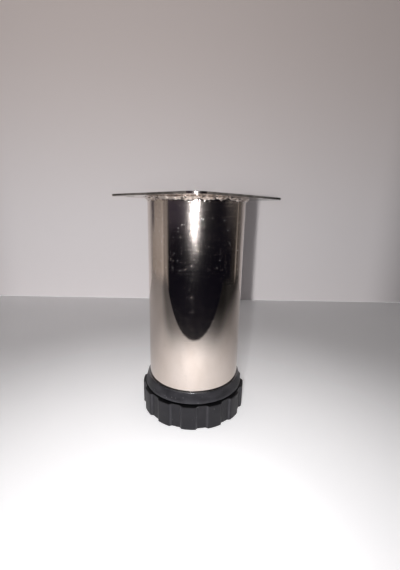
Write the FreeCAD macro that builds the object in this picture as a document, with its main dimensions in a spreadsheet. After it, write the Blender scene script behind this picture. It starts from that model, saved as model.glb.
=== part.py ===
import FreeCAD
import Part
import math
import os

import Sketcher

# Adjustable cabinet leg: a square plate welded on a round tube, a moulded plug in the tube's lower end and a
# screw foot under it. Millimetres, +Z up, plate edges along X and Y, origin on the axis at the foot's lower
# face.

SHEET_NAME = "Sizes"

# Driving sizes: name, value, what it measures
SIZES = [
    ("tube_diameter", 50.0, "outside of the tube"),
    ("tube_wall", 1.2, "sheet of the tube"),
    ("tube_length", 95.5, "from the lower rim to the plate"),
    ("tube_rim_bevel", 0.3, "bevel of the lower rim's outer edge"),
    ("plate_margin", 7.5, "from the tube's side to the plate's edge"),
    ("plate_thickness", 1.0, "sheet of the plate"),
    ("plate_corner_radius", 7.0, "corners of the plate"),
    ("screw_hole_diameter", 5.0, "hole for a wood screw"),
    ("screw_hole_inset", 8.5, "from the plate's edges to a screw hole's centre"),
    ("drain_hole_diameter", 10.0, "hole that drains the tube after plating"),
    ("weld_leg", 2.0, "height and width of the weld"),
    ("weld_toe", 0.3, "blunt edge of the weld"),
    ("collar_height", 5.6, "collar below the tube's rim"),
    ("collar_top_overhang", 1.0, "collar's upper edge beyond the tube"),
    ("collar_bottom_overhang", 2.5, "collar's lower edge beyond the tube"),
    ("collar_edge_bevel", 0.4, "bevel of the collar's upper edge"),
    ("plug_depth", 18.0, "plug inside the tube"),
    ("plug_wall", 2.2, "wall of the plug's cup"),
    ("plug_floor", 3.2, "floor of the plug's cup"),
    ("plug_clearance", 0.1, "between plug and tube"),
    ("plug_hub_wall", 3.0, "plastic round the nut's corners"),
    ("plug_hub_roof", 4.0, "plastic above the nut"),
    ("plug_rib_thickness", 2.0, "ribs in the plug"),
    ("plug_rib_count", 6, "ribs in the plug"),
    ("nut_wall", 3.5, "from the thread to the nut's flats"),
    ("nut_height", 8.0, "height of the nut"),
    ("nut_chamfer", 0.8, "drop of the nut's corners"),
    ("nut_recess", 0.4, "nut above the collar's lower face"),
    ("nut_clearance", 0.1, "between nut and pocket"),
    ("thread_diameter", 10.0, "outside of the screw's thread"),
    ("thread_clearance", 0.05, "round the screw in the nut and in the knob"),
    ("spindle_hole_clearance", 0.3, "round the screw in the plug"),
    ("spindle_reach", 35.0, "screw above the knob"),
    ("spindle_tip_chamfer", 1.0, "tip of the screw"),
    ("head_flange", 5.0, "head beyond the screw's thread"),
    ("head_height", 4.0, "height of the head"),
    ("head_cover", 2.5, "from the floor to the head"),
    ("rest_gap", 0.9, "between knob and collar, as it stands"),
    ("knob_height", 13.0, "height of the knob"),
    ("knob_lobe_overhang", 1.5, "lobes beyond the collar's lower edge"),
    ("knob_lobe_count", 13, "lobes round the knob"),
    ("knob_groove_depth", 1.3, "grooves between the lobes"),
    ("knob_groove_mouth", 6.8, "groove's width at the lobes"),
    ("knob_groove_floor", 4.4, "groove's width at its floor"),
    ("knob_edge_bevel", 0.3, "upper and lower edges of the lobes"),
    ("knob_wall", 3.0, "knob's wall behind the grooves"),
    ("knob_deck", 3.5, "knob's upper side"),
    ("knob_hub_wall", 3.45, "plastic round the screw's head"),
    ("knob_hub_recess", 0.6, "hub and ribs above the floor"),
    ("knob_rib_thickness", 2.2, "ribs in the knob"),
    ("knob_rib_count", 6, "ribs in the knob"),
    ("knob_turn", 20.0, "degrees that the knob stands turned"),
]

VALUES = {name: value for name, value, meaning in SIZES}


class Length:
    """A size: its present value, and the expression that ties it to the sheet."""

    def __init__(self, value, text):
        self.value = value
        self.text = text

    def __add__(self, other):
        return Length(self.value + other.value, "(%s + %s)" % (self.text, other.text))

    def __sub__(self, other):
        return Length(self.value - other.value, "(%s - %s)" % (self.text, other.text))

    def __mul__(self, factor):
        return Length(self.value * factor, "(%s * %r)" % (self.text, factor))

    def __truediv__(self, divisor):
        return Length(self.value / divisor, "(%s / %r)" % (self.text, divisor))

    def __neg__(self):
        return Length(-self.value, "(-%s)" % self.text)


def size(name):
    return Length(VALUES[name], SHEET_NAME + "." + name)


ZERO = Length(0.0, "0")

# A hexagon's corner radius over its half width across flats
CORNER_RATIO = 2 / math.sqrt(3)

# Lengths closer than this are the same
SAME = 1e-6

# Radii
tube_radius = size("tube_diameter") / 2
bore_radius = tube_radius - size("tube_wall")
plate_half = tube_radius + size("plate_margin")
spindle_radius = size("thread_diameter") / 2
thread_hole_radius = spindle_radius + size("thread_clearance")
head_radius = spindle_radius + size("head_flange")
head_hole_radius = head_radius + size("thread_clearance")
nut_half_flats = spindle_radius + size("nut_wall")
pocket_half_flats = nut_half_flats + size("nut_clearance")
plug_radius = bore_radius - size("plug_clearance")
plug_cavity_radius = plug_radius - size("plug_wall")
plug_hub_radius = pocket_half_flats * CORNER_RATIO + size("plug_hub_wall")
plug_hole_radius = spindle_radius + size("spindle_hole_clearance")
collar_top_radius = tube_radius + size("collar_top_overhang")
collar_bottom_radius = tube_radius + size("collar_bottom_overhang")
knob_radius = collar_bottom_radius + size("knob_lobe_overhang")
groove_radius = knob_radius - size("knob_groove_depth")
knob_cavity_radius = groove_radius - size("knob_wall")
knob_hub_radius = head_hole_radius + size("knob_hub_wall")

# Levels above the floor
head_roof_level = size("head_cover") + size("head_height")
knob_deck_level = size("knob_height") - size("knob_deck")
collar_level = size("knob_height") + size("rest_gap")
plug_floor_level = collar_level + size("plug_floor")
nut_level = collar_level + size("nut_recess")
nut_roof_level = nut_level + size("nut_height")
plug_hub_level = nut_roof_level + size("plug_hub_roof")
rim_level = collar_level + size("collar_height")
plug_top_level = rim_level + size("plug_depth")
spindle_tip_level = size("knob_height") + size("spindle_reach")
plate_level = rim_level + size("tube_length")

document = FreeCAD.newDocument("cabinet_leg")


def make_sheet():
    sheet = document.addObject("Spreadsheet::Sheet", SHEET_NAME)
    for row, (name, value, meaning) in enumerate(SIZES, start=1):
        sheet.set("A%d" % row, name)
        sheet.set("B%d" % row, str(value))
        sheet.set("C%d" % row, meaning)
        sheet.setAlias("B%d" % row, name)
    document.recompute()


def tie(item, property_path, length):
    item.setExpression(property_path, length.text)


def new_body(label, level=ZERO):
    body = document.addObject("PartDesign::Body", label)
    body.Label = label
    tie(body, ".Placement.Base.z", level)
    return body


def origin_feature(body, role):
    return next(item for item in body.Origin.OriginFeatures if item.Role == role)


def new_sketch(body, name, plane="XY_Plane", level=ZERO):
    sketch = body.newObject("Sketcher::SketchObject", name)
    sketch.AttachmentSupport = [(origin_feature(body, plane), "")]
    sketch.MapMode = "FlatFace"
    tie(sketch, ".AttachmentOffset.Base.z", level)
    return sketch


def constrain(sketch, kind, *places, length):
    index = sketch.addConstraint(Sketcher.Constraint(kind, *places, length.value))
    tie(sketch, "Constraints[%d]" % index, length)


def fix_point(sketch, edge, point, x, y):
    """Hold a point of an edge (1 start, 2 end, 3 centre) at a place in the sketch."""
    constrain(sketch, "DistanceX", -1, 1, edge, point, length=x)
    constrain(sketch, "DistanceY", -1, 1, edge, point, length=y)


def vector(x, y):
    return FreeCAD.Vector(x.value, y.value, 0)


def add_outline(sketch, points):
    """A closed outline of straight sides."""
    first = sketch.GeometryCount
    for number, point in enumerate(points):
        following = points[(number + 1) % len(points)]
        sketch.addGeometry(Part.LineSegment(vector(*point), vector(*following)))
    for number, point in enumerate(points):
        following = (number + 1) % len(points)
        sketch.addConstraint(Sketcher.Constraint("Coincident", first + number, 2, first + following, 1))
        fix_point(sketch, first + number, 1, *point)


def add_circle(sketch, radius, x=ZERO, y=ZERO):
    edge = sketch.addGeometry(Part.Circle(vector(x, y), FreeCAD.Vector(0, 0, 1), radius.value))
    constrain(sketch, "Radius", edge, length=radius)
    fix_point(sketch, edge, 3, x, y)


def add_rectangle(sketch, low_x, high_x, half_y):
    add_outline(sketch, [(low_x, -half_y), (high_x, -half_y), (high_x, half_y), (low_x, half_y)])


def add_hexagon(sketch, half_flats):
    """A hexagon on the axis, with two flats along X."""
    corner = half_flats * CORNER_RATIO
    points = [(corner, ZERO), (corner / 2, half_flats), (-corner / 2, half_flats)]
    add_outline(sketch, points + [(-x, -y) for x, y in points])


def pad(body, sketch, height):
    feature = body.newObject("PartDesign::Pad", sketch.Name + "_pad")
    feature.Profile = sketch
    tie(feature, "Length", height)
    document.recompute()
    return feature


def turn(body, sketch, kind="PartDesign::Revolution"):
    """Turn a section in the XZ plane round the axis, to add material or, as a groove, to cut it."""
    feature = body.newObject(kind, sketch.Name + "_turned")
    feature.Profile = sketch
    feature.ReferenceAxis = (sketch, ["V_Axis"])
    feature.Angle = 360
    document.recompute()
    return feature


def cut(body, sketch, depth=None):
    """Cut upwards from the sketch to a depth, or right through the body both ways."""
    before = body.Shape.Volume
    feature = body.newObject("PartDesign::Pocket", sketch.Name + "_cut")
    feature.Profile = sketch
    if depth is None:
        feature.Type = "ThroughAll"
        feature.Midplane = True
    else:
        feature.Reversed = True
        tie(feature, "Length", depth)
    document.recompute()
    if body.Shape.Volume >= before:
        raise RuntimeError(feature.Name + " cuts nothing")
    return feature


def repeat_round(body, feature, count):
    pattern = body.newObject("PartDesign::PolarPattern", feature.Name + "_round")
    pattern.Originals = [feature]
    pattern.Axis = (origin_feature(body, "Z_Axis"), [""])
    pattern.Angle = 360
    tie(pattern, "Occurrences", count)
    body.Tip = pattern
    document.recompute()


def round_upright_edges(body, name, radius):
    base = body.Tip
    edges = ["Edge%d" % number for number, edge in enumerate(base.Shape.Edges, start=1) if is_upright(edge)]
    feature = body.newObject("PartDesign::Fillet", name)
    feature.Base = (base, edges)
    tie(feature, "Radius", radius)
    document.recompute()


def is_upright(edge):
    rise = edge.Vertexes[-1].Point - edge.Vertexes[0].Point
    return abs(rise.z) > SAME and math.hypot(rise.x, rise.y) < SAME


def make_mounting_plate():
    body = new_body("mounting_plate", plate_level)
    square = new_sketch(body, "plate_square")
    add_rectangle(square, -plate_half, plate_half, plate_half)
    pad(body, square, size("plate_thickness"))
    round_upright_edges(body, "plate_corners", size("plate_corner_radius"))
    drain = new_sketch(body, "drain_hole")
    add_circle(drain, size("drain_hole_diameter") / 2)
    cut(body, drain)
    screw = new_sketch(body, "screw_hole")
    place = plate_half - size("screw_hole_inset")
    add_circle(screw, size("screw_hole_diameter") / 2, place, place)
    repeat_round(body, cut(body, screw), Length(4, "4"))
    return body


def make_leg_tube():
    body = new_body("leg_tube", rim_level)
    bevel = size("tube_rim_bevel")
    section = new_sketch(body, "tube_section", "XZ_Plane")
    points = [
        (bore_radius, ZERO),
        (tube_radius - bevel, ZERO),
        (tube_radius, bevel),
        (tube_radius, size("tube_length")),
        (bore_radius, size("tube_length")),
    ]
    add_outline(section, points)
    turn(body, section)
    return body


def make_weld_bead():
    """The fillet between plate and tube, with blunt toes."""
    body = new_body("weld_bead", plate_level)
    leg = size("weld_leg")
    toe = size("weld_toe")
    outer = tube_radius + leg
    section = new_sketch(body, "bead_section", "XZ_Plane")
    points = [
        (outer, ZERO),
        (outer, -toe),
        (tube_radius + toe, -leg),
        (tube_radius, -leg),
        (tube_radius, ZERO),
    ]
    add_outline(section, points)
    turn(body, section)
    return body


def make_end_plug():
    """A cup pressed in the tube, with a tapered collar below the rim and a ribbed hub that holds the nut."""
    body = new_body("end_plug")
    bevel = size("collar_edge_bevel")
    section = new_sketch(body, "plug_section", "XZ_Plane")
    points = [
        (plug_hole_radius, collar_level),
        (collar_bottom_radius, collar_level),
        (collar_top_radius, rim_level - bevel),
        (collar_top_radius - bevel, rim_level),
        (plug_radius, rim_level),
        (plug_radius, plug_top_level),
        (plug_cavity_radius, plug_top_level),
        (plug_cavity_radius, plug_floor_level),
        (plug_hub_radius, plug_floor_level),
        (plug_hub_radius, plug_hub_level),
        (plug_hole_radius, plug_hub_level),
    ]
    add_outline(section, points)
    turn(body, section)
    root = size("plug_wall") / 2
    rib = new_sketch(body, "plug_rib", level=plug_floor_level - root)
    add_rectangle(rib, plug_hub_radius - root, plug_cavity_radius + root, size("plug_rib_thickness") / 2)
    repeat_round(body, pad(body, rib, plug_hub_level - plug_floor_level + root), size("plug_rib_count"))
    pocket = new_sketch(body, "nut_pocket", level=collar_level)
    add_hexagon(pocket, pocket_half_flats)
    cut(body, pocket, nut_roof_level - collar_level)
    return body


def make_captive_nut():
    body = new_body("captive_nut", nut_level)
    hexagon = new_sketch(body, "nut_hexagon")
    add_hexagon(hexagon, nut_half_flats)
    pad(body, hexagon, size("nut_height"))
    thread = new_sketch(body, "nut_thread")
    add_circle(thread, thread_hole_radius)
    cut(body, thread)
    beyond = nut_half_flats * (2 * CORNER_RATIO - 1)
    drop = size("nut_chamfer") * 2
    top = size("nut_height")
    corners = new_sketch(body, "nut_corners", "XZ_Plane")
    add_outline(corners, [(nut_half_flats, top), (beyond, top - drop), (beyond, top)])
    add_outline(corners, [(nut_half_flats, ZERO), (beyond, ZERO), (beyond, drop)])
    turn(body, corners, "PartDesign::Groove")
    return body


def make_adjuster_spindle():
    """The screw, with a round head that lies inside the knob. Its thread is a plain cylinder."""
    body = new_body("adjuster_spindle")
    chamfer = size("spindle_tip_chamfer")
    section = new_sketch(body, "spindle_section", "XZ_Plane")
    points = [
        (ZERO, size("head_cover")),
        (head_radius, size("head_cover")),
        (head_radius, head_roof_level),
        (spindle_radius, head_roof_level),
        (spindle_radius, spindle_tip_level - chamfer),
        (spindle_radius - chamfer, spindle_tip_level),
        (ZERO, spindle_tip_level),
    ]
    add_outline(section, points)
    turn(body, section)
    return body


def make_foot_knob():
    """A fluted cap, open and ribbed below, moulded round the screw's head."""
    body = new_body("foot_knob")
    tie(body, ".Placement.Rotation.Angle", size("knob_turn"))
    bevel = size("knob_edge_bevel")
    top = size("knob_height")
    hub_bottom = size("knob_hub_recess")
    section = new_sketch(body, "knob_section", "XZ_Plane")
    points = [
        (ZERO, hub_bottom),
        (knob_hub_radius, hub_bottom),
        (knob_hub_radius, knob_deck_level),
        (knob_cavity_radius, knob_deck_level),
        (knob_cavity_radius, ZERO),
        (knob_radius - bevel, ZERO),
        (knob_radius, bevel),
        (knob_radius, top - bevel),
        (knob_radius - bevel, top),
        (thread_hole_radius, top),
        (thread_hole_radius, head_roof_level),
        (head_hole_radius, head_roof_level),
        (head_hole_radius, size("head_cover")),
        (ZERO, size("head_cover")),
    ]
    add_outline(section, points)
    turn(body, section)
    half_mouth = size("knob_groove_mouth") / 2
    half_floor = size("knob_groove_floor") / 2
    half_beyond = half_mouth * 2 - half_floor
    beyond = knob_radius + size("knob_groove_depth")
    groove = new_sketch(body, "knob_groove")
    points = [
        (groove_radius, -half_floor),
        (beyond, -half_beyond),
        (beyond, half_beyond),
        (groove_radius, half_floor),
    ]
    add_outline(groove, points)
    repeat_round(body, cut(body, groove), size("knob_lobe_count"))
    root = size("knob_wall") / 2
    rib = new_sketch(body, "knob_rib", level=hub_bottom)
    add_rectangle(rib, knob_hub_radius - root, knob_cavity_radius + root, size("knob_rib_thickness") / 2)
    rib_height = knob_deck_level - hub_bottom + size("knob_deck") / 2
    repeat_round(body, pad(body, rib, rib_height), size("knob_rib_count"))
    return body


def check_and_write(bodies):
    document.recompute()
    faulty = [item.Name for item in document.Objects if {"Invalid", "Error"} & set(item.State)]
    faulty += [body.Label for body in bodies if body.Shape.isNull() or not body.Shape.isValid()]
    if faulty:
        raise RuntimeError("failed: " + ", ".join(faulty))
    os.makedirs("parts", exist_ok=True)
    for body in bodies:
        body.Shape.exportStep("parts/%s.step" % body.Label)
        print("%-18s %d solid, %.1f mm3" % (body.Label, len(body.Shape.Solids), body.Shape.Volume))


make_sheet()
check_and_write(
    [
        make_mounting_plate(),
        make_leg_tube(),
        make_weld_bead(),
        make_end_plug(),
        make_captive_nut(),
        make_adjuster_spindle(),
        make_foot_knob(),
    ]
)
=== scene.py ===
"""Looks of an adjustable cabinet leg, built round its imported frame. Lengths are in metres."""

import math

import bmesh
import bpy
from bpy.props import FloatProperty, FloatVectorProperty, IntProperty, PointerProperty
from mathutils import Matrix, Vector, noise


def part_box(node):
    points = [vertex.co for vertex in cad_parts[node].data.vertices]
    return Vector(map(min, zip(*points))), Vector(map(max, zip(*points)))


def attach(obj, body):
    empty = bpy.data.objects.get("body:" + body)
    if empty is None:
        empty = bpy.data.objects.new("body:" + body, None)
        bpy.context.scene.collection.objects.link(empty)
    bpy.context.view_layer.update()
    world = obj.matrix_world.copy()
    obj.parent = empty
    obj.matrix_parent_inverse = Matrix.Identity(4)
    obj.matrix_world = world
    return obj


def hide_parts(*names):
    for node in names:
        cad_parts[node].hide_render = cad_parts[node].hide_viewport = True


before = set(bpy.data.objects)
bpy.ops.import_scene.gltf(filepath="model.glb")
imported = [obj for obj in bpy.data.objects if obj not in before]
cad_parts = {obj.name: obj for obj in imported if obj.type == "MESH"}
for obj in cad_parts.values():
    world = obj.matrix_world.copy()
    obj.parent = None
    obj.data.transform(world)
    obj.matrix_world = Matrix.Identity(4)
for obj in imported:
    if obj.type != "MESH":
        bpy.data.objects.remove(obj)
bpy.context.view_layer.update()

bl_info = {
    "name": "Adjustable cabinet leg",
    "version": (1, 0, 0),
    "blender": (4, 5, 0),
    "location": "View3D > Sidebar > Cabinet leg",
    "description": "Models a plated cabinet leg with a black screw foot, and its studio",
    "category": "Mesh",
}

MM = 0.001
ORIGIN = Vector((0.0, 0.0, 0.0))
UP = Vector((0.0, 0.0, 1.0))

# Places closer than this are one
TOUCH = 1e-7

# Edges sharper than this stay creased
CREASE = math.radians(38)

# Faces across a rounded edge, and across a corner of the plate
ROUND_SEGMENTS = 3
CORNER_SEGMENTS = 16

# Faces round a turned piece, the weld, the screw and the plate's holes
TURN_STEPS = 208
WELD_STEPS = 420
SCREW_STEPS = 96
DRAIN_HOLE_STEPS = 64
SCREW_HOLE_STEPS = 48

# Facets across the weld's hollow face
WELD_FACETS = 10

# Steps in a turn of the thread
THREAD_STEPS = 48

# Columns of faces to a lobe of the knob
LOBE_COLUMNS = 32

# Sides of the nut
HEXAGON = 6

# Levels on the plating in millimetres: where haze grows, and where the rubbed band starts and ends
HAZE_RISE = (80.0, 112.0)
BAND_RISE = (70.0, 94.0)
BAND_FALL = (102.0, 114.0)

# Turns the specks' grid, so that they don't stand in rows
SPECK_TILT = (0.5, 0.8, 0.3)

# Lowest and highest corners of the frame's nodes
PLATE_LOW, PLATE_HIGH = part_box("mounting_plate")
TUBE_LOW, TUBE_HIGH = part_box("leg_tube")
_, WELD_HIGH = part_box("weld_bead")
PLUG_LOW, PLUG_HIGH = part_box("end_plug")
_, NUT_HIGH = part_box("captive_nut")
SPINDLE_LOW, SPINDLE_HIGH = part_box("adjuster_spindle")
_, KNOB_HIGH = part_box("foot_knob")


def length(name, description, millimetres):
    """A size that a user can change."""
    return FloatProperty(
        name=name,
        description=description,
        default=millimetres * MM,
        subtype="DISTANCE",
        unit="LENGTH",
        precision=5,
    )


def angle(name, description, degrees):
    """An angle that a user can change."""
    return FloatProperty(
        name=name,
        description=description,
        default=math.radians(degrees),
        subtype="ANGLE",
        unit="ROTATION",
    )


def colour(name, description, value):
    """A colour that a user can change."""
    return FloatVectorProperty(
        name=name,
        description=description,
        default=value,
        subtype="COLOR",
        size=3,
        min=0.0,
        max=1.0,
    )


class LegSizes(bpy.types.PropertyGroup):
    """Sizes of the leg that the frame's boxes don't give."""

    tube_wall: length("Tube wall", "Sheet of the tube", 1.2)
    tube_rim_radius: length("Tube rim", "Rounding of the tube's lower rim", 0.3)
    plate_corner_radius: length("Plate corners", "Rounding of the plate's corners, seen from above", 7.0)
    plate_edge_radius: length("Plate edges", "Rounding of the sheet's edges", 0.12)
    screw_hole_diameter: length("Screw holes", "Diameter of the screw holes", 5.0)
    screw_hole_inset: length("Screw hole inset", "From the plate's edges to a screw hole", 8.5)
    drain_hole_diameter: length("Drain hole", "Diameter of the hole in the plate's middle", 10.0)
    weld_toe: length("Weld toe", "Blunt edge of the weld", 0.06)
    weld_ripple_pitch: length("Weld ripples", "From one ripple of the weld to the next", 2.8)
    weld_ripple_height: length("Weld ripple height", "Height of the weld's ripples", 0.36)
    weld_lump_height: length("Weld lumps", "Unevenness of the weld", 0.85)
    collar_top_overhang: length("Collar top", "Collar's upper edge beyond the tube", 1.0)
    collar_edge_radius: length("Collar edge", "Rounding of the collar's edges", 0.5)
    plug_clearance: length("Plug clearance", "Between plug and tube", 0.1)
    plug_wall: length("Plug wall", "Wall of the plug's cup", 2.2)
    plug_floor: length("Plug floor", "Floor of the plug's cup", 3.2)
    plug_hub_wall: length("Plug hub", "Plastic round the nut's corners", 3.0)
    plug_hub_roof: length("Plug hub roof", "Plastic above the nut", 4.0)
    plug_rib_thickness: length("Plug ribs", "Thickness of the plug's ribs", 2.0)
    plug_rib_count: IntProperty(name="Plug rib count", description="Ribs in the plug", default=6)
    nut_clearance: length("Nut clearance", "Between nut and pocket", 0.1)
    thread_diameter: length("Thread", "Outside of the screw's thread", 10.0)
    thread_depth: length("Thread depth", "From the thread's crest to its root", 0.9)
    thread_pitch: length("Thread pitch", "Rise of the thread in a turn", 1.5)
    thread_clearance: length("Thread clearance", "Round the screw in the knob", 0.05)
    spindle_hole_clearance: length("Spindle hole", "Round the screw in the plug", 0.3)
    head_height: length("Screw head", "Height of the screw's head", 4.0)
    knob_radius: length("Knob radius", "From the axis to the knob's lobes", 29.0)
    knob_lobe_count: IntProperty(name="Knob lobes", description="Lobes round the knob", default=13)
    knob_groove_depth: length("Knob grooves", "Depth of the grooves between the lobes", 1.3)
    knob_groove_mouth: length("Groove mouth", "Groove's width at the lobes", 6.8)
    knob_groove_floor: length("Groove floor", "Groove's width at its floor", 4.4)
    knob_edge_bevel: length("Knob edges", "Bevel of the lobes' upper and lower edges", 0.3)
    knob_inner_bevel: length("Knob inner edges", "Bevel of the edges of hub, hollow and hole", 0.3)
    knob_wall: length("Knob wall", "Knob's wall behind the grooves", 3.0)
    knob_deck: length("Knob deck", "Knob's upper side", 3.5)
    knob_hub_wall: length("Knob hub", "Plastic round the screw's head", 3.45)
    knob_hub_recess: length("Knob hub recess", "Hub and ribs above the floor", 0.6)
    knob_rib_thickness: length("Knob ribs", "Thickness of the knob's ribs", 2.2)
    knob_rib_count: IntProperty(name="Knob rib count", description="Ribs in the knob", default=6)
    knob_turn: angle("Knob turn", "How far the knob stands turned", 20.0)


class LegColours(bpy.types.PropertyGroup):
    """Colours of the leg's finishes."""

    nickel: colour("Plating", "Bright plating of tube, plate and weld", (0.70, 0.62, 0.565))
    nickel_stain: colour("Plating stain", "Plating where it is thin", (0.60, 0.515, 0.45))
    # Heat stain is painted shade: it darkens one corner of the plate, whose underside mirrors shade
    corner_painted_shade: colour("Heat stain", "Plate's corner that the weld's heat has dulled", (0.17, 0.16, 0.155))
    # Soot colours the weld's burnt specks, and is also painted shade along the plate's edges
    soot_and_edge_shade: colour("Soot", "Burnt specks and undercuts at the weld", (0.02, 0.018, 0.016))
    plastic: colour("Plastic", "Moulded plug and knob", (0.0125, 0.0117, 0.0142))
    # Scuff colour is wear, and also a painted highlight on the knob's groove flanks
    plastic_scuff_and_sheen: colour("Scuffs", "Plastic rubbed grey on its edges", (0.052, 0.05, 0.056))
    # Sheltered plastic is painted shade: inside the tube, on the knob's top under the collar and along the
    # knob's foot
    plastic_painted_shade: colour("Sheltered plastic", "Plastic that is out of reach", (0.006, 0.0058, 0.0068))
    pale_dust: colour("Dust", "Specks of dust", (0.75, 0.74, 0.74))
    zinc: colour("Zinc", "Screw and nut", (0.66, 0.67, 0.68))
    # Zinc shade makes the thread's root darker
    zinc_shade: colour("Zinc shade", "Grease in the thread's root", (0.16, 0.15, 0.13))


class StageSettings(bpy.types.PropertyGroup):
    """Camera, floor, backdrop and lamps, measured from the leg's axis on the camera's side."""

    azimuth: angle("Azimuth", "Camera's direction round the leg", 45.0)
    camera_distance: length("Camera distance", "Level distance from the leg's axis to the camera", 159.9)
    camera_height: length("Camera height", "Camera above the floor", 108.7)
    camera_pitch: angle("Camera pitch", "Camera tilted down", 13.85)
    camera_yaw: angle("Camera yaw", "Camera turned to the right", 0.96)
    camera_roll: angle("Camera roll", "Camera rolled to the left", 1.29)
    focal_length: FloatProperty(
        name="Focal length",
        description="Lens of the camera, in millimetres",
        default=18.947,
    )
    floor_front: length("Floor front", "From the axis to the floor's front edge", 130.0)
    wall_distance: length("Wall distance", "From the axis to the backdrop", 206.0)
    floor_colour: colour("Floor", "Pale floor", (0.92, 0.905, 0.907))
    wall_colour: colour("Backdrop", "Pale backdrop, near the floor", (0.79, 0.745, 0.747))
    # The upper backdrop is a little darker and warmer: painted shade high up
    upper_wall_colour: colour("Upper backdrop", "Pale backdrop, high up", (0.80, 0.70, 0.667))


class Value:
    """One output of a shader's nodes. Arithmetic on it adds Math nodes."""

    def __init__(self, tree, socket=None):
        self.tree = tree
        self.socket = socket

    def node(self, kind, inputs=None, output=0, **settings):
        """Add a node with its settings, then the values or links of its sockets, and give one output."""
        node = self.tree.nodes.new(kind)
        for name, setting in settings.items():
            if name == "stops":
                set_stops(node.color_ramp, setting)
            else:
                setattr(node, name, setting)
        for key, value in (inputs or {}).items():
            if isinstance(value, Value):
                self.tree.links.new(value.socket, node.inputs[key])
            else:
                node.inputs[key].default_value = value
        return Value(self.tree, node.outputs[output] if node.outputs else None)

    def output(self, name):
        """Another output of the same node."""
        return Value(self.tree, self.socket.node.outputs[name])

    def calculate(self, operation, first, second=0.0):
        """A Math node on one or two values."""
        return self.node("ShaderNodeMath", {0: first, 1: second}, operation=operation)

    def __add__(self, other):
        return self.calculate("ADD", self, other)

    def __sub__(self, other):
        return self.calculate("SUBTRACT", self, other)

    def __rsub__(self, other):
        return self.calculate("SUBTRACT", other, self)

    def __mul__(self, other):
        return self.calculate("MULTIPLY", self, other)

    def __truediv__(self, other):
        return self.calculate("DIVIDE", self, other)

    __radd__ = __add__
    __rmul__ = __mul__

    def rise(self, low, high):
        """0 at low, 1 at high and smooth between."""
        inputs = {"Value": self, "From Min": low, "From Max": high}
        return self.node("ShaderNodeMapRange", inputs, interpolation_type="SMOOTHSTEP")

    def blend(self, first, second):
        """The first colour where the value is 0, the second where it is 1."""
        return self.node("ShaderNodeMix", {0: self, 6: first, 7: second}, output=2, data_type="RGBA")

    def times(self, x, y, z):
        """A vector, stretched along its axes."""
        return self.node("ShaderNodeVectorMath", {0: self, 1: (x, y, z)}, operation="MULTIPLY")

    def axis(self, name):
        """One coordinate of a vector."""
        return self.node("ShaderNodeSeparateXYZ", {0: self}, output=name)

    def noise(self, detail=2.0, roughness=0.5):
        """Cloudy noise over a vector, a cloud to a unit."""
        inputs = {"Vector": self, "Scale": 1.0, "Detail": detail, "Roughness": roughness}
        return self.node("ShaderNodeTexNoise", inputs)

    def cells(self):
        """Distance to the nearest of the random points over a vector, a point to a unit."""
        inputs = {"Vector": self, "Scale": 1.0, "Randomness": 1.0}
        return self.node("ShaderNodeTexVoronoi", inputs, output="Distance")

    def relief(self):
        """The normal of a surface with this height, in millimetres."""
        inputs = {"Height": self, "Strength": 1.0, "Distance": MM}
        return self.node("ShaderNodeBump", inputs, output="Normal")


def set_stops(ramp, stops):
    """Give a ramp its stops, each a place and a colour."""
    while len(ramp.elements) > 1:
        ramp.elements.remove(ramp.elements[-1])
    for number, (place, tone) in enumerate(stops):
        element = ramp.elements[0] if number == 0 else ramp.elements.new(place)
        element.position = place
        element.color = opaque(tone)


def opaque(tone):
    """A colour with full alpha."""
    return (*tone, 1.0)


def new_material(name):
    """A material with no nodes, the start of its shader and its surface in millimetres."""
    material = bpy.data.materials.new(name)
    material.use_nodes = True
    material.node_tree.nodes.clear()
    start = Value(material.node_tree)
    place = start.node("ShaderNodeTexCoord", output="Object").times(1 / MM, 1 / MM, 1 / MM)
    return material, start, place


def polar_radius(place):
    """Distance of a place from the leg's axis."""
    flat = place.times(1.0, 1.0, 0.0)
    return place.node("ShaderNodeVectorMath", {0: flat}, output="Value", operation="LENGTH")


def specks(place, spacing, radius, share):
    """Round specks at a share of random places: 1 in a speck's middle, 0 beyond its radius."""
    inputs = {"Vector": place, "Rotation": SPECK_TILT}
    tilted = place.node("ShaderNodeVectorRotate", inputs, rotation_type="EULER_XYZ")
    cells = tilted.times(1 / spacing, 1 / spacing, 1 / spacing).cells()
    chosen = cells.output("Color").axis("X").rise(1 - share, 1 - share + 0.01)
    return (1 - cells.rise(0.3 * radius / spacing, radius / spacing)) * chosen


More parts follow.
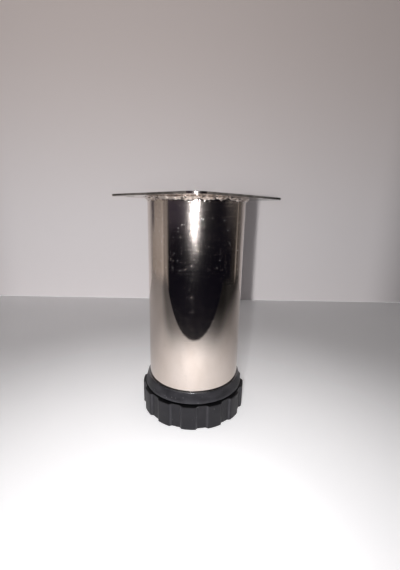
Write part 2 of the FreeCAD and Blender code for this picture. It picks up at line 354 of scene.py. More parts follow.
def plated_steel(name, satin, shaded_corner=None, shaded_edge=None):
    """Bright plating with drawing lines, pits and dust, haze that grows toward the weld, and painted shade
    on a corner and along the edges where asked.
    """
    colours = bpy.context.scene.leg_colours
    material, start, place = new_material(name)
    lines = place.times(1.6, 1.6, 0.012).noise(detail=3.0, roughness=0.6)
    waves = place.times(0.11, 0.11, 0.05).noise(detail=1.0)
    clouds = place.times(0.09, 0.09, 0.05).noise(detail=4.0, roughness=0.6)
    scratches = place.times(0.06, 0.06, 1.2).noise(detail=4.0, roughness=0.7)
    hairs = scratches.rise(0.58, 0.64)
    level = place.axis("Z")
    haze = level.rise(*HAZE_RISE)
    handled = level.rise(*BAND_RISE) * (1 - level.rise(*BAND_FALL))
    pits = specks(place, spacing=2.2, radius=0.42, share=0.2)
    patches = (place.times(0.13, 0.13, 0.07).noise(detail=2.0) + handled * 0.46 - 0.1).rise(0.41, 0.64)
    grains = specks(place, spacing=0.75, radius=0.17, share=0.3) * patches
    dust = specks(place, spacing=1.4, radius=0.2, share=0.22) * (patches * 0.6 + 0.4)
    tone = (clouds.rise(0.35, 0.75) * 0.55).blend(opaque(colours.nickel), opaque(colours.nickel_stain))
    metal = 1 - dust
    # Painted shade: a ragged dark patch over one corner of the plate
    if shaded_corner:
        ragged = place.axis("X") + place.axis("Y") + clouds * 24.0 - 12.0
        stain = ragged.rise(shaded_corner * 0.55, shaded_corner * 0.95)
        tone = stain.blend(tone, opaque(colours.corner_painted_shade))
        metal = metal * (1 - stain * 0.7)
    # Painted shade: the plate's edges are darkened with the soot colour, in place of the dark room that
    # they mirror
    if shaded_edge:
        across = start.calculate("ABSOLUTE", place.axis("X"))
        along = start.calculate("ABSOLUTE", place.axis("Y"))
        cut = start.calculate("MAXIMUM", across, along).rise(shaded_edge - 0.12, shaded_edge - 0.02)
        cut = cut * (clouds.rise(0.3, 0.6) * 0.3 + 0.6)
        tone = cut.blend(tone, opaque(colours.soot_and_edge_shade))
        metal = metal * (1 - cut * 0.6)
    tone = dust.blend(tone, opaque(colours.pale_dust))
    height = lines * 0.0028 + waves * 0.03 - pits * 0.05 * patches + grains * 0.042 + scratches * 0.0045
    mirror = start.node(
        "ShaderNodeBsdfPrincipled",
        {
            "Base Color": tone,
            "Metallic": metal,
            "Roughness": clouds.rise(0.3, 0.8) * 0.03 + haze * 0.045 + 0.025 + pits * 0.15 + dust * 0.6,
            "Normal": height.relief(),
        },
    )
    dull = start.node(
        "ShaderNodeBsdfPrincipled",
        {
            "Base Color": tone,
            "Metallic": metal,
            "Roughness": 0.25,
            "Normal": (height + scratches * 0.08).relief(),
        },
    )
    cloudy = (clouds.rise(0.3, 0.7) * 0.5 + 0.75) * (haze * 1.3 + 0.22) * satin
    share = cloudy + grains * 0.2 + hairs * (handled * 0.14 + 0.08)
    surface = start.node("ShaderNodeMixShader", {0: share, 1: mirror, 2: dull})
    start.node("ShaderNodeOutputMaterial", {"Surface": surface})
    return material


def weld_plating(name):
    """Plating over the weld, with thin patches and burnt specks at random."""
    colours = bpy.context.scene.leg_colours
    material, start, place = new_material(name)
    clouds = place.times(0.4, 0.4, 0.4).noise(detail=2.0)
    grit = place.times(2.6, 2.6, 2.6).noise(detail=4.0, roughness=0.7)
    burnt = place.times(0.45, 0.45, 0.9).noise(detail=2.0).rise(0.6, 0.66)
    tone = (clouds.rise(0.3, 0.7) * 0.6).blend(opaque(colours.nickel), opaque(colours.nickel_stain))
    tone = (burnt * 0.9).blend(tone, opaque(colours.soot_and_edge_shade))
    surface = start.node(
        "ShaderNodeBsdfPrincipled",
        {
            "Base Color": tone,
            "Metallic": 1.0,
            "Roughness": grit.rise(0.3, 0.8) * 0.1 + 0.035 + burnt * 0.3,
            "Normal": (grit * 0.02 + clouds * 1.1).relief(),
        },
    )
    start.node("ShaderNodeOutputMaterial", {"Surface": surface})
    return material


def moulded_plastic(name, wear, rubbed, shaded_levels, polished):
    """Black moulded plastic: grey between the rubbed radii, as wear on the plug and a painted highlight on
    the knob, with painted shade at the shaded levels, glossy at an edge.
    """
    colours = bpy.context.scene.leg_colours
    material, start, place = new_material(name)
    grain = place.times(4.5, 4.5, 4.5).noise(detail=3.0, roughness=0.65)
    flow = place.times(0.16, 0.16, 0.3).noise(detail=3.0)
    nicks = place.times(0.7, 0.7, 0.25).noise(detail=5.0, roughness=0.75)
    out = polar_radius(place)
    level = place.axis("Z")
    inside, outside = rubbed
    middle = (inside + outside) / 2
    # A lighter band between the rubbed radii: wear on the plug, a painted highlight on the knob's groove
    # flanks
    band = out.rise(inside, middle) * (1 - out.rise(middle, outside))
    edge = band * (nicks.rise(0.3, 0.7) * 0.6 + 0.4)
    lint = specks(place, spacing=1.4, radius=0.22, share=0.18)
    tone = (flow.rise(0.3, 0.8) * wear).blend(opaque(colours.plastic), opaque(colours.plastic_scuff_and_sheen))
    tone = edge.blend(tone, opaque(colours.plastic_scuff_and_sheen))
    tone = (lint * 0.4).blend(tone, opaque(colours.pale_dust))
    # Painted shade between each pair of levels
    for levels in shaded_levels:
        tone = level.rise(*levels).blend(tone, opaque(colours.plastic_painted_shade))
    surface = start.node(
        "ShaderNodeBsdfPrincipled",
        {
            "Base Color": tone,
            "Roughness": 0.42 - edge * 0.1 + grain * 0.14 + lint * 0.2,
            "Specular IOR Level": 0.35,
            "Coat Weight": level.rise(*polished),
            "Coat Roughness": 0.22,
            "Coat IOR": 2.2,
            "Normal": (grain * 0.022 + nicks * 0.015).relief(),
        },
    )
    start.node("ShaderNodeOutputMaterial", {"Surface": surface})
    return material


def zinc_steel(name, root_radius):
    """Bright zinc with turning marks, darker and duller in the thread's root."""
    colours = bpy.context.scene.leg_colours
    material, start, place = new_material(name)
    clouds = place.times(0.35, 0.35, 0.35).noise(detail=4.0, roughness=0.6)
    turning = place.times(0.3, 0.3, 9.0).noise(detail=2.0)
    root = 1 - polar_radius(place).rise(root_radius, root_radius + 0.45)
    tone = (root * clouds.rise(0.25, 0.6)).blend(opaque(colours.zinc), opaque(colours.zinc_shade))
    surface = start.node(
        "ShaderNodeBsdfPrincipled",
        {
            "Base Color": tone,
            "Metallic": 1.0 - root * 0.25,
            "Roughness": clouds * 0.2 + 0.2,
            "Normal": (turning * 0.008 + clouds * 0.01).relief(),
        },
    )
    start.node("ShaderNodeOutputMaterial", {"Surface": surface})
    return material


def turned(corners, steps=TURN_STEPS):
    """Turn a closed half section round the axis. A corner is its radius, level and rounding."""
    bm = bmesh.new()
    verts = [bm.verts.new((radius, 0.0, level)) for radius, level, _ in corners]
    bm.faces.new(verts)
    for vert, (_, _, rounding) in zip(verts, corners):
        if rounding:
            round_off(bm, [vert], rounding, "VERTICES")
    bmesh.ops.delete(bm, geom=bm.faces[:], context="FACES_ONLY")
    on_axis = [edge for edge in bm.edges if max(vert.co.x for vert in edge.verts) < TOUCH]
    bmesh.ops.delete(bm, geom=on_axis, context="EDGES")
    bmesh.ops.spin(
        bm,
        geom=bm.verts[:] + bm.edges[:],
        cent=ORIGIN,
        axis=UP,
        dvec=ORIGIN,
        angle=math.tau,
        steps=steps,
        use_merge=True,
    )
    bmesh.ops.remove_doubles(bm, verts=bm.verts[:], dist=TOUCH)
    bmesh.ops.recalc_face_normals(bm, faces=bm.faces[:])
    return bm


def round_off(bm, geometry, radius, affect, segments=ROUND_SEGMENTS):
    """Round edges or corners."""
    bmesh.ops.bevel(
        bm,
        geom=geometry,
        offset=radius,
        offset_type="OFFSET",
        affect=affect,
        segments=segments,
        profile=0.5,
        material=-1,
        clamp_overlap=True,
    )


def lofted(rings, columns):
    """Skin a stack of rings and close its ends. A ring gives a radius and a level from an angle."""
    bm = bmesh.new()
    verts = bmesh.ops.create_circle(bm, cap_ends=True, segments=columns, radius=1.0)["verts"]
    edges = bm.edges[:]
    place_ring(verts, rings[0])
    for ring in rings[1:]:
        grown = bmesh.ops.extrude_edge_only(bm, edges=edges)["geom"]
        verts = [item for item in grown if isinstance(item, bmesh.types.BMVert)]
        edges = [item for item in grown if isinstance(item, bmesh.types.BMEdge) and item.is_boundary]
        place_ring(verts, ring)
    bmesh.ops.edgeloop_fill(bm, edges=edges)
    bmesh.ops.recalc_face_normals(bm, faces=bm.faces[:])
    return bm


def place_ring(verts, ring):
    """Move corners to the radius and level that a ring gives for their angle."""
    for vert in verts:
        turn = math.atan2(vert.co.y, vert.co.x)
        radius, level = ring(turn)
        vert.co = (radius * math.cos(turn), radius * math.sin(turn), level)


def circle(radius, level):
    """A plain ring."""
    return lambda turn: (radius, level)


def prism(sides, radius, low, high, centre=(0.0, 0.0)):
    """An upright cylinder or prism."""
    bm = bmesh.new()
    place = Matrix.Translation((*centre, (low + high) / 2))
    bmesh.ops.create_cone(
        bm, cap_ends=True, segments=sides, radius1=radius, radius2=radius, depth=high - low, matrix=place
    )
    return bm


def ribs(count, inner, outer, thickness, low, high, turn=0.0):
    """Upright ribs that stand out from the axis."""
    bm = bmesh.new()
    size = Matrix.Diagonal((outer - inner, thickness, high - low, 1.0))
    place = Matrix.Translation(((outer + inner) / 2, 0.0, (high + low) / 2))
    for number in range(count):
        spread = Matrix.Rotation(turn + math.tau * number / count, 4, "Z")
        bmesh.ops.create_cube(bm, size=1.0, matrix=spread @ place @ size)
    return bm


def combined(base, tool, operation):
    """Join, cut or intersect two closed meshes."""
    items = [scene_object("working_shape", bm) for bm in (base, tool)]
    modifier = items[0].modifiers.new("combined", "BOOLEAN")
    modifier.object = items[1]
    modifier.operation = operation
    modifier.solver = "EXACT"
    bpy.context.view_layer.update()
    result = bmesh.new()
    result.from_object(items[0], bpy.context.evaluated_depsgraph_get())
    for item in items:
        bpy.data.objects.remove(item)
    if not result.faces:
        raise RuntimeError("nothing is left of a " + operation.lower())
    bmesh.ops.remove_doubles(result, verts=result.verts[:], dist=TOUCH)
    return result


def scene_object(name, bm):
    """Put a mesh in the scene."""
    mesh = bpy.data.meshes.new(name)
    bm.to_mesh(mesh)
    bm.free()
    item = bpy.data.objects.new(name, mesh)
    bpy.context.scene.collection.objects.link(item)
    return item


def add_piece(name, bm, material, body, node):
    """Put a finished mesh in the scene in place of a CAD node."""
    open_edges = [edge for edge in bm.edges if not edge.is_manifold]
    if open_edges:
        raise RuntimeError("%s has %d open edges" % (name, len(open_edges)))
    piece = scene_object(name, bm)
    piece.data.materials.append(material)
    piece.data.shade_smooth()
    piece.data.set_sharp_from_angle(angle=CREASE)
    piece.modifiers.new("even_normals", "WEIGHTED_NORMAL").keep_sharp = True
    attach(piece, body)
    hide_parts(node)


def sharp_edges(bm):
    """Edges that a rounding takes off."""
    return [edge for edge in bm.edges if edge.is_manifold and edge.calc_face_angle() > CREASE]


class CABINETLEG_OT_plate(bpy.types.Operator):
    """Square plate with rounded corners, screw holes and a drain hole"""

    bl_idname = "cabinetleg.plate"
    bl_label = "Mounting plate"

    def execute(self, context):
        sizes = context.scene.leg_sizes
        plate = bmesh.new()
        extent = PLATE_HIGH - PLATE_LOW
        place = Matrix.Translation((PLATE_LOW + PLATE_HIGH) / 2) @ Matrix.Diagonal((*extent, 1.0))
        bmesh.ops.create_cube(plate, size=1.0, matrix=place)
        upright = [edge for edge in plate.edges if abs(edge.verts[0].co.z - edge.verts[1].co.z) > TOUCH]
        round_off(plate, upright, sizes.plate_corner_radius, "EDGES", CORNER_SEGMENTS)
        low = PLATE_LOW.z - extent.z
        high = PLATE_HIGH.z + extent.z
        reach = PLATE_HIGH.x - sizes.screw_hole_inset
        holes = [prism(DRAIN_HOLE_STEPS, sizes.drain_hole_diameter / 2, low, high)]
        for x in (-reach, reach):
            for y in (-reach, reach):
                holes.append(prism(SCREW_HOLE_STEPS, sizes.screw_hole_diameter / 2, low, high, (x, y)))
        for hole in holes:
            plate = combined(plate, hole, "DIFFERENCE")
        round_off(plate, sharp_edges(plate), sizes.plate_edge_radius, "EDGES")
        material = plated_steel(
            "plate_plating",
            satin=0.28,
            # Painted shade on one corner
            shaded_corner=2 * (PLATE_HIGH.x - sizes.plate_corner_radius) / MM,
            # Painted shade along the plate's edges
            shaded_edge=PLATE_HIGH.x / MM,
        )
        add_piece("plate", plate, material, "leg", "mounting_plate")
        return {"FINISHED"}


class CABINETLEG_OT_tube(bpy.types.Operator):
    """Round tube, open at both ends"""

    bl_idname = "cabinetleg.tube"
    bl_label = "Tube"

    def execute(self, context):
        sizes = context.scene.leg_sizes
        outer = TUBE_HIGH.x
        inner = outer - sizes.tube_wall
        rim = sizes.tube_rim_radius
        section = [
            (inner, TUBE_LOW.z, rim / 3),
            (outer, TUBE_LOW.z, rim),
            (outer, TUBE_HIGH.z, 0.0),
            (inner, TUBE_HIGH.z, 0.0),
        ]
        material = plated_steel("tube_plating", satin=0.25)
        add_piece("tube", turned(section), material, "leg", "leg_tube")
        return {"FINISHED"}


class CABINETLEG_OT_weld(bpy.types.Operator):
    """Hand-laid fillet weld with ripples and lumps"""

    bl_idname = "cabinetleg.weld"
    bl_label = "Weld"

    def execute(self, context):
        sizes = context.scene.leg_sizes
        root = TUBE_HIGH.x
        top = WELD_HIGH.z
        leg = WELD_HIGH.x - root
        hollow = leg - sizes.weld_toe
        section = [(root, top - leg, 0.0), (root, top, 0.0), (root + leg, top, 0.0)]
        for number in range(WELD_FACETS + 1):
            turn = math.pi / 2 * (1 + number / WELD_FACETS)
            section.append((root + leg + hollow * math.cos(turn), top - leg + hollow * math.sin(turn), 0.0))
        bead = turned(section, steps=WELD_STEPS)
        ripples = math.tau * root / sizes.weld_ripple_pitch
        for vert in bead.verts:
            out = math.hypot(vert.co.x, vert.co.y)
            away = Vector((out - root, 0.0, vert.co.z - top))
            turn = math.atan2(vert.co.y, vert.co.x)
            spot = Vector((math.cos(turn), math.sin(turn), 0.0))
            # Ripples wander and lean along the bead, lumps swell its face, and its toes spread
            wander = noise.noise(spot * 5.0) * 1.6
            slant = (away.x + away.z) / leg * 0.35
            phase = (turn / math.tau * ripples + wander + slant) % 1.0
            ripple = math.sin(math.pi * phase) ** 0.7 * sizes.weld_ripple_height
            uneven = min(max(noise.noise(spot * 3.1 + UP) * 2.2 + 0.7, 0.0), 1.0)
            lump = noise.fractal(spot * 7.0 + away * 160.0, 1.0, 2.0, 3) * sizes.weld_lump_height
            spread = 1.0 + noise.noise(spot * 9.0 - UP) * 0.4
            on_face = away.x > TOUCH and away.z < -TOUCH
            belly = math.sin(2 * math.atan2(-away.z, away.x)) if on_face else 0.0
            place = away * spread + away.normalized() * (ripple + lump) * uneven * belly
            vert.co = ((root + place.x) * spot.x, (root + place.x) * spot.y, top + place.z)
        add_piece("weld", bead, weld_plating("weld_plating"), "leg", "weld_bead")
        return {"FINISHED"}


class CABINETLEG_OT_plug(bpy.types.Operator):
    """Moulded plug with a tapered collar, a cup in the tube and a ribbed hub round the nut"""

    bl_idname = "cabinetleg.plug"
    bl_label = "End plug"

    def execute(self, context):
        sizes = context.scene.leg_sizes
        rim = TUBE_LOW.z
        floor = PLUG_LOW.z + sizes.plug_floor
        hub_top = NUT_HIGH.z + sizes.plug_hub_roof
        hole = sizes.thread_diameter / 2 + sizes.spindle_hole_clearance
        pocket = NUT_HIGH.x + sizes.nut_clearance * 2 / math.sqrt(3)
        hub = pocket + sizes.plug_hub_wall
        outer = TUBE_HIGH.x - sizes.tube_wall - sizes.plug_clearance
        inner = outer - sizes.plug_wall
        edge = sizes.collar_edge_radius
        section = [
            (hole, PLUG_LOW.z, 0.0),
            (PLUG_HIGH.x, PLUG_LOW.z, edge * 0.7),
            (TUBE_HIGH.x + sizes.collar_top_overhang, rim, edge),
            (outer, rim, 0.0),
            (outer, PLUG_HIGH.z, edge),
            (inner, PLUG_HIGH.z, edge),
            (inner, floor, edge),
            (hub, floor, edge),
            (hub, hub_top, edge),
            (hole, hub_top, edge),
        ]
        root = sizes.plug_wall / 2
        fins = ribs(
            sizes.plug_rib_count, hub - root, inner + root, sizes.plug_rib_thickness,
            floor - root, hub_top,
        )
        plug = combined(turned(section), fins, "UNION")
        nut_hole = prism(HEXAGON, pocket, PLUG_LOW.z - root, NUT_HIGH.z)
        nut_turn = Matrix.Rotation(math.pi / HEXAGON, 3, "Z")
        bmesh.ops.rotate(nut_hole, verts=nut_hole.verts[:], cent=ORIGIN, matrix=nut_turn)
        plug = combined(plug, nut_hole, "DIFFERENCE")
        material = moulded_plastic(
            "plug_plastic",
            wear=0.6,
            rubbed=((PLUG_HIGH.x - edge) / MM, (PLUG_HIGH.x + edge) / MM),
            # Painted shade on the plug above the tube's rim, inside the tube
            shaded_levels=[(rim / MM, (rim + edge) / MM)],
            polished=((rim - edge) / MM, (rim - edge / 2) / MM),
        )
        add_piece("plug", plug, material, "leg", "end_plug")
        return {"FINISHED"}


class CABINETLEG_OT_nut(bpy.types.Operator):
    """Zinc finish on the nut in the plug"""

    bl_idname = "cabinetleg.nut"
    bl_label = "Nut"

    def execute(self, context):
        sizes = context.scene.leg_sizes
        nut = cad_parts["captive_nut"]
        root_radius = (sizes.thread_diameter / 2 - sizes.thread_depth) / MM
        nut.material_slots[0].material = zinc_steel("nut_zinc", root_radius)
        return {"FINISHED"}


class CABINETLEG_OT_spindle(bpy.types.Operator):
    """Screw with a right-hand thread and a round head"""

    bl_idname = "cabinetleg.spindle"
    bl_label = "Spindle"

    def execute(self, context):
        sizes = context.scene.leg_sizes
        crest = sizes.thread_diameter / 2
        core = crest - sizes.thread_depth
        pitch = sizes.thread_pitch
        roof = SPINDLE_LOW.z + sizes.head_height
        tip = SPINDLE_HIGH.z
        edge = sizes.thread_clearance * 4
        head = SPINDLE_HIGH.x
        stem = [
            (0.0, SPINDLE_LOW.z, 0.0),
            (head, SPINDLE_LOW.z, edge),
            (head, roof, edge),
            (core, roof, 0.0),
            (core, tip, 0.0),
            (0.0, tip, 0.0),
        ]
        envelope = [
            (0.0, SPINDLE_LOW.z, 0.0),
            (head, SPINDLE_LOW.z, 0.0),
            (head, roof, 0.0),
            (crest, roof, 0.0),
            (crest, tip - sizes.thread_depth, 0.0),
            (crest - sizes.thread_depth, tip, 0.0),
            (0.0, tip, 0.0),
        ]
        ridge = bmesh.new()
        sunk = core - sizes.thread_clearance
        # The thread's half widths at root and crest, as shares of the pitch
        root_half = 0.46
        crest_half = 0.08
        outline = [
            (sunk, -root_half),
            (crest - TOUCH, -crest_half),
            (crest - TOUCH, crest_half),
            (sunk, root_half),
        ]
        start = roof + pitch / 2
        corners = [ridge.verts.new((radius, 0.0, start + share * pitch)) for radius, share in outline]
        ridge.faces.new(corners)
        turns = math.ceil((tip - start) / pitch)
        bmesh.ops.spin(
            ridge,
            geom=ridge.verts[:] + ridge.edges[:] + ridge.faces[:],
            cent=ORIGIN,
            axis=UP,
            dvec=UP * pitch / THREAD_STEPS,
            angle=math.tau * turns,
            steps=THREAD_STEPS * turns,
        )
        bmesh.ops.holes_fill(ridge, edges=ridge.edges[:])
        bmesh.ops.recalc_face_normals(ridge, faces=ridge.faces[:])
        screw = combined(turned(stem, steps=SCREW_STEPS), ridge, "UNION")
        screw = combined(screw, turned(envelope, steps=SCREW_STEPS), "INTERSECT")
        material = zinc_steel("spindle_zinc", core / MM)
        add_piece("spindle", screw, material, "spindle", "adjuster_spindle")
        return {"FINISHED"}


class CABINETLEG_OT_knob(bpy.types.Operator):
    """Fluted knob, open and ribbed below"""

    bl_idname = "cabinetleg.knob"
    bl_label = "Foot knob"

    def execute(self, context):
        sizes = context.scene.leg_sizes
        top = KNOB_HIGH.z
        groove = sizes.knob_radius - sizes.knob_groove_depth
        cavity = groove - sizes.knob_wall
        hole = sizes.thread_diameter / 2 + sizes.thread_clearance
        head = SPINDLE_HIGH.x + sizes.thread_clearance
        head_floor = SPINDLE_LOW.z
        head_roof = head_floor + sizes.head_height
        hub = head + sizes.knob_hub_wall
        deck = top - sizes.knob_deck
        edge = sizes.knob_inner_bevel
        rings = [
            circle(hub - edge, sizes.knob_hub_recess),
            circle(hub, sizes.knob_hub_recess + edge),
            circle(hub, deck - edge),
            circle(hub + edge, deck),
            circle(cavity - edge, deck),
            circle(cavity, deck - edge),
            circle(cavity, edge),
            circle(cavity + edge, 0.0),
        ]
        rings += [lobed_ring(sizes, level, inset) for level, inset in knob_side(sizes, top)]
        rings += [
            circle(groove - sizes.knob_wall / 2, top),
            circle(hole + edge, top),
            circle(hole, top - edge),
            circle(hole, head_roof),
            circle(head, head_roof),
            circle(head, head_floor),
        ]
        knob = lofted(rings, sizes.knob_lobe_count * LOBE_COLUMNS)
        root = sizes.knob_wall / 2
        fins = ribs(
            sizes.knob_rib_count, hub - root, cavity + root, sizes.knob_rib_thickness,
            sizes.knob_hub_recess, deck + root, sizes.knob_turn,
        )
        knob = combined(knob, fins, "UNION")
        # Painted shade on the knob's top by the collar, and a painted contact shadow along its foot
        deck_shade = (top / MM - 0.3, top / MM - 0.1)
        foot_shade = (0.7, 0.1)
        material = moulded_plastic(
            "knob_plastic",
            wear=0.12,
            # Painted highlight: the groove flanks between groove and lobe radius are lighter
            rubbed=(groove / MM, sizes.knob_radius / MM),
            shaded_levels=[deck_shade, foot_shade],
            polished=(top / MM, top / MM + 1),
        )
        add_piece("knob", knob, material, "foot", "foot_knob")
        return {"FINISHED"}


def knob_side(sizes, top):
    """Levels of the knob's side and how far the lobes stand back there, from the floor up."""
    bevel = sizes.knob_edge_bevel
    lower = [(0.0, bevel), (bevel * 0.3, bevel * 0.3), (bevel, 0.0), (bevel * 3, 0.0)]
    return lower + [(top - level, inset) for level, inset in reversed(lower)]


def lobed_ring(sizes, level, inset):
    """The knob's outline at a level: lobes that stand back by an inset, and grooves."""
    pitch = math.tau / sizes.knob_lobe_count
    crest = sizes.knob_radius - inset
    groove = sizes.knob_radius - sizes.knob_groove_depth
    floor_end = math.asin(sizes.knob_groove_floor / 2 / groove)
    mouth_end = math.asin(sizes.knob_groove_mouth / 2 / sizes.knob_radius)
    blur = math.radians(0.7)

    def outline(turn):
        """Radius with sharp edges at the grooves."""
        from_groove = abs((turn - sizes.knob_turn + pitch / 2) % pitch - pitch / 2)
        share = (from_groove - floor_end) / (mouth_end - floor_end)
        return groove + sizes.knob_groove_depth * min(max(share, 0.0), 1.0)

    def ring(turn):
        """Radius with softened edges, and the level."""
        soft = sum(outline(turn + blur * step / 2) for step in range(-2, 3)) / 5
        return min(soft, crest), level

    return ring


class CABINETLEG_OT_stage(bpy.types.Operator):
    """Pale floor and backdrop, soft lamps and the camera"""

    bl_idname = "cabinetleg.stage"
    bl_label = "Stage"

    def execute(self, context):
        stage = context.scene.leg_stage
        turn = Matrix.Rotation(stage.azimuth, 4, "Z")
        add_sweep(stage, turn)
        add_world(stage)
        add_lamps(turn)
        add_camera(stage, turn)
        context.scene.view_settings.view_transform = "Standard"
        return {"FINISHED"}


def add_sweep(stage, turn):
    """Floor and backdrop in one sheet, and a plain apron round them. They go down with the foot."""
    half_width = 0.42
    height = 0.6
    apron_half_width = 3.0
    apron_drop = 0.0005
    bm = bmesh.new()
    corners = [(-stage.floor_front, 0.0), (stage.wall_distance, 0.0), (stage.wall_distance, height)]
    verts = [bm.verts.new((-half_width, y, z)) for y, z in corners]
    edges = [bm.edges.new(pair) for pair in zip(verts, verts[1:])]
    grown = bmesh.ops.extrude_edge_only(bm, edges=edges)["geom"]
    moved = [item for item in grown if isinstance(item, bmesh.types.BMVert)]
    bmesh.ops.translate(bm, verts=moved, vec=(2 * half_width, 0.0, 0.0))
    bmesh.ops.transform(bm, matrix=turn, verts=bm.verts[:])
    sweep = scene_object("sweep", bm)
    sweep.data.materials.append(stage_paint(stage))
    apron_mesh = bmesh.new()
    below = Matrix.Translation(-UP * apron_drop)
    bmesh.ops.create_grid(apron_mesh, x_segments=1, y_segments=1, size=apron_half_width, matrix=below)
    apron = scene_object("apron", apron_mesh)
    apron.data.materials.append(sweep.data.materials[0])
    apron.visible_glossy = False
    apron.visible_diffuse = False
    apron.visible_shadow = False
    for item in (sweep, apron):
        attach(item, "spindle")


def seen_from_camera(vector, azimuth):
    """Turn a place or direction: X to the right in the picture, Y away from the camera."""
    inputs = {"Vector": vector, "Angle": -azimuth}
    return vector.node("ShaderNodeVectorRotate", inputs, rotation_type="Z_AXIS")


def stage_paint(stage):
    """Pale paint with a painted pool of light in front of the leg, and painted shade away from it."""
    bright_spot = (0.0, -90.0, 0.0)
    dark = (0.01, 0.01, 0.01)
    unlit = (0.0, 0.0, 0.0)
    material, start, place = new_material("stage_paint")
    local = seen_from_camera(place, stage.azimuth)
    across = local.axis("X")
    depth = local.axis("Y")
    height = local.axis("Z")
    wall = height.rise(0.0, 1.0)
    path = start.node("ShaderNodeLightPath", output="Is Camera Ray")
    mirrored = path.output("Is Glossy Ray")
    # Painted shade that only the plating mirrors: a floor darker in front and on the right than the camera
    # sees it
    front = 1 - (1 - depth.rise(-90.0, -20.0)) * polar_radius(place).rise(85.0, 160.0) * 0.66 * mirrored
    right = 1 - (across - depth * 0.5).rise(85.0, 260.0) * 0.9 * mirrored
    # Painted shade for every ray: darker toward the right, beyond the backdrop's sides and higher up
    side = 1 - across.rise(-200.0, 220.0) * 0.14
    wing = 1 - (1 - across.rise(-300.0, -208.0)) * 0.3 - across.rise(208.0, 300.0) * 0.6
    upper = 1 - height.rise(70.0, 320.0) * 0.16
    shade = side * (wall * upper * wing + (1 - wall) * front * right)
    paper = height.rise(60.0, 330.0).blend(opaque(stage.wall_colour), opaque(stage.upper_wall_colour))
    tone = wall.blend(opaque(stage.floor_colour), paper)
    # Painted shade: the paint goes toward near black where the shade is low
    tone = shade.blend(opaque(dark), tone)
    # Painted pool of light: the floor glows in front of the leg, for the camera and for reflections
    seen = path * 0.91 + mirrored
    ends = {0: local, 1: bright_spot}
    distance = start.node("ShaderNodeVectorMath", ends, output="Value", operation="DISTANCE")
    spread = distance * (mirrored * 0.2 + 1.0)
    glow = (1 - spread.rise(10.0, 225.0)) * 0.75 * seen + (1 - spread.rise(5.0, 70.0)) * 0.28 * seen
    surface = start.node(
        "ShaderNodeBsdfPrincipled",
        {
            "Base Color": tone,
            "Roughness": 0.8,
            "Specular IOR Level": 0.1,
            "Alpha": across.rise(-420.0, -280.0) * (1 - across.rise(280.0, 420.0)),
            "Emission Color": glow.blend(opaque(unlit), tone),
            "Emission Strength": 1.0,
        },
    )
    start.node("ShaderNodeOutputMaterial", {"Surface": surface})
    return material


def add_world(stage):
    """A plain pale surround, with a dark room in front for the plating to mirror."""
    corner_tone = (0.044, 0.037, 0.053)
    eaves_dark = (0.011, 0.0095, 0.012)
    eaves_light = (0.42, 0.395, 0.385)
    ceiling_tone = (0.1, 0.1, 0.1)
    plain_tone = (0.5, 0.48, 0.48)
    world = bpy.data.worlds.new("studio")
    bpy.context.scene.world = world
    world.use_nodes = True
    world.node_tree.nodes.clear()
    start = Value(world.node_tree)
    toward = start.node("ShaderNodeTexCoord", output="Generated")
    local = seen_from_camera(toward, stage.azimuth)
    side = local.axis("X")
    up = local.axis("Z")
    across = start.calculate("ARCTAN2", side, 0.0 - local.axis("Y"))
    share = across / math.tau + 0.5
    # Degrees from the camera's direction, positive to the right, and the room's tone there
    tones = [
        (-180, 0.32), (-140, 0.30), (-110, 0.35), (-100, 0.40), (-92, 0.38),
        (-86, 0.44), (-83, 0.58), (-80, 0.34), (-77, 0.27), (-74, 0.34),
        (-70, 0.29), (-65, 0.005), (88, 0.005), (100, 0.03), (107, 0.03),
        (109, 0.3), (112, 0.3), (114, 0.04), (120, 0.12), (180, 0.32),
    ]
    stops = [(degrees / 360 + 0.5, room_colour(tone)) for degrees, tone in tones]
    around = start.node("ShaderNodeValToRGB", {0: share}, stops=stops)
    corner = side.rise(-0.935, -0.91) * (1 - side.rise(-0.3, 0.0)) * up.rise(-0.09, -0.01)
    around = corner.blend(around, opaque(corner_tone))
    eaves = up.rise(0.03, 0.05) * (1 - corner)
    eaves_tone = side.rise(0.9, 0.985).blend(opaque(eaves_dark), opaque(eaves_light))
    around = eaves.blend(around, eaves_tone)
    light = up.rise(0.3, 0.8).blend(around, opaque(ceiling_tone))
    seen = start.node("ShaderNodeLightPath", output="Is Camera Ray")
    tone = seen.blend(light, opaque(plain_tone))
    background = start.node("ShaderNodeBackground", {"Color": tone, "Strength": 1.0})
    start.node("ShaderNodeOutputWorld", {"Surface": background})


def room_colour(tone):
    """A tone of the room: warm where it is light, cool where it is dark."""
    if tone > 0.02:
        return (tone, tone * 0.9, tone * 0.84)
    return (tone * 0.9, tone * 0.85, tone * 1.6)


def add_lamps(turn):
    """A small lamp beside the camera, a far one in line with it, and a wide soft one overhead."""
    target = Vector((0.0, 0.0, 0.065))
    near = add_lamp(
        "beside_camera",
        turn,
        place=Vector((-0.0105, -0.163, 0.106)),
        target=target,
        size=0.021,
        watts=0.117,
    )
    near.data.color = (0.94, 0.96, 1.0)
    far = add_lamp("far", turn, place=Vector((-0.141, -0.726, 0.083)), target=target, size=0.02, watts=4.2)
    far.visible_glossy = False
    add_lamp("overhead", turn, place=Vector((-0.05, -0.1, 0.75)), target=ORIGIN, size=0.6, watts=0.6)


def add_lamp(name, turn, place, target, size, watts):
    """A round lamp that shines at a target."""
    data = bpy.data.lights.new(name, "AREA")
    data.shape = "DISK"
    data.size = size
    data.energy = watts
    lamp = bpy.data.objects.new(name, data)
    bpy.context.scene.collection.objects.link(lamp)
    aim = (target - place).to_track_quat("-Z", "Y").to_matrix().to_4x4()
    lamp.matrix_world = turn @ Matrix.Translation(place) @ aim
    return lamp


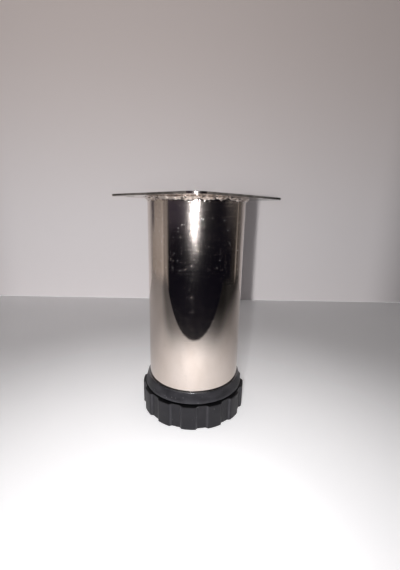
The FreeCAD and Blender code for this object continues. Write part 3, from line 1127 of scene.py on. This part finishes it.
def add_camera(stage, turn):
    """A camera a little below the plate, tilted down."""
    data = bpy.data.cameras.new("camera")
    data.lens = stage.focal_length
    data.sensor_width = 36.0
    data.clip_start = 0.001
    camera = bpy.data.objects.new("camera", data)
    bpy.context.scene.collection.objects.link(camera)
    bpy.context.scene.camera = camera
    place = Matrix.Translation((0.0, -stage.camera_distance, stage.camera_height))
    heading = Matrix.Rotation(-stage.camera_yaw, 4, "Z")
    tilt = Matrix.Rotation(math.pi / 2 - stage.camera_pitch, 4, "X")
    roll = Matrix.Rotation(stage.camera_roll, 4, "Z")
    camera.matrix_world = turn @ place @ heading @ tilt @ roll


class CABINETLEG_PT_pieces(bpy.types.Panel):
    """The leg's pieces and its stage"""

    bl_idname = "CABINETLEG_PT_pieces"
    bl_label = "Cabinet leg"
    bl_space_type = "VIEW_3D"
    bl_region_type = "UI"
    bl_category = "Cabinet leg"

    def draw(self, context):
        for operator in OPERATORS:
            self.layout.operator(operator.bl_idname)
        for group, settings in GROUPS.items():
            for name in settings.__annotations__:
                self.layout.prop(getattr(context.scene, group), name)


GROUPS = {"leg_sizes": LegSizes, "leg_colours": LegColours, "leg_stage": StageSettings}
OPERATORS = [
    CABINETLEG_OT_plate,
    CABINETLEG_OT_tube,
    CABINETLEG_OT_weld,
    CABINETLEG_OT_plug,
    CABINETLEG_OT_nut,
    CABINETLEG_OT_spindle,
    CABINETLEG_OT_knob,
    CABINETLEG_OT_stage,
]


def register():
    """Add the settings, operators and panel."""
    for cls in (*GROUPS.values(), *OPERATORS, CABINETLEG_PT_pieces):
        bpy.utils.register_class(cls)
    for name, group in GROUPS.items():
        setattr(bpy.types.Scene, name, PointerProperty(type=group))


def unregister():
    """Take out the settings, operators and panel."""
    for name in GROUPS:
        delattr(bpy.types.Scene, name)
    for cls in (CABINETLEG_PT_pieces, *reversed(OPERATORS), *reversed(GROUPS.values())):
        bpy.utils.unregister_class(cls)


def main():
    """Build every piece and the stage."""
    register()
    for operator in OPERATORS:
        group, name = operator.bl_idname.split(".")
        getattr(getattr(bpy.ops, group), name)()


if __name__ == "__main__":
    main()
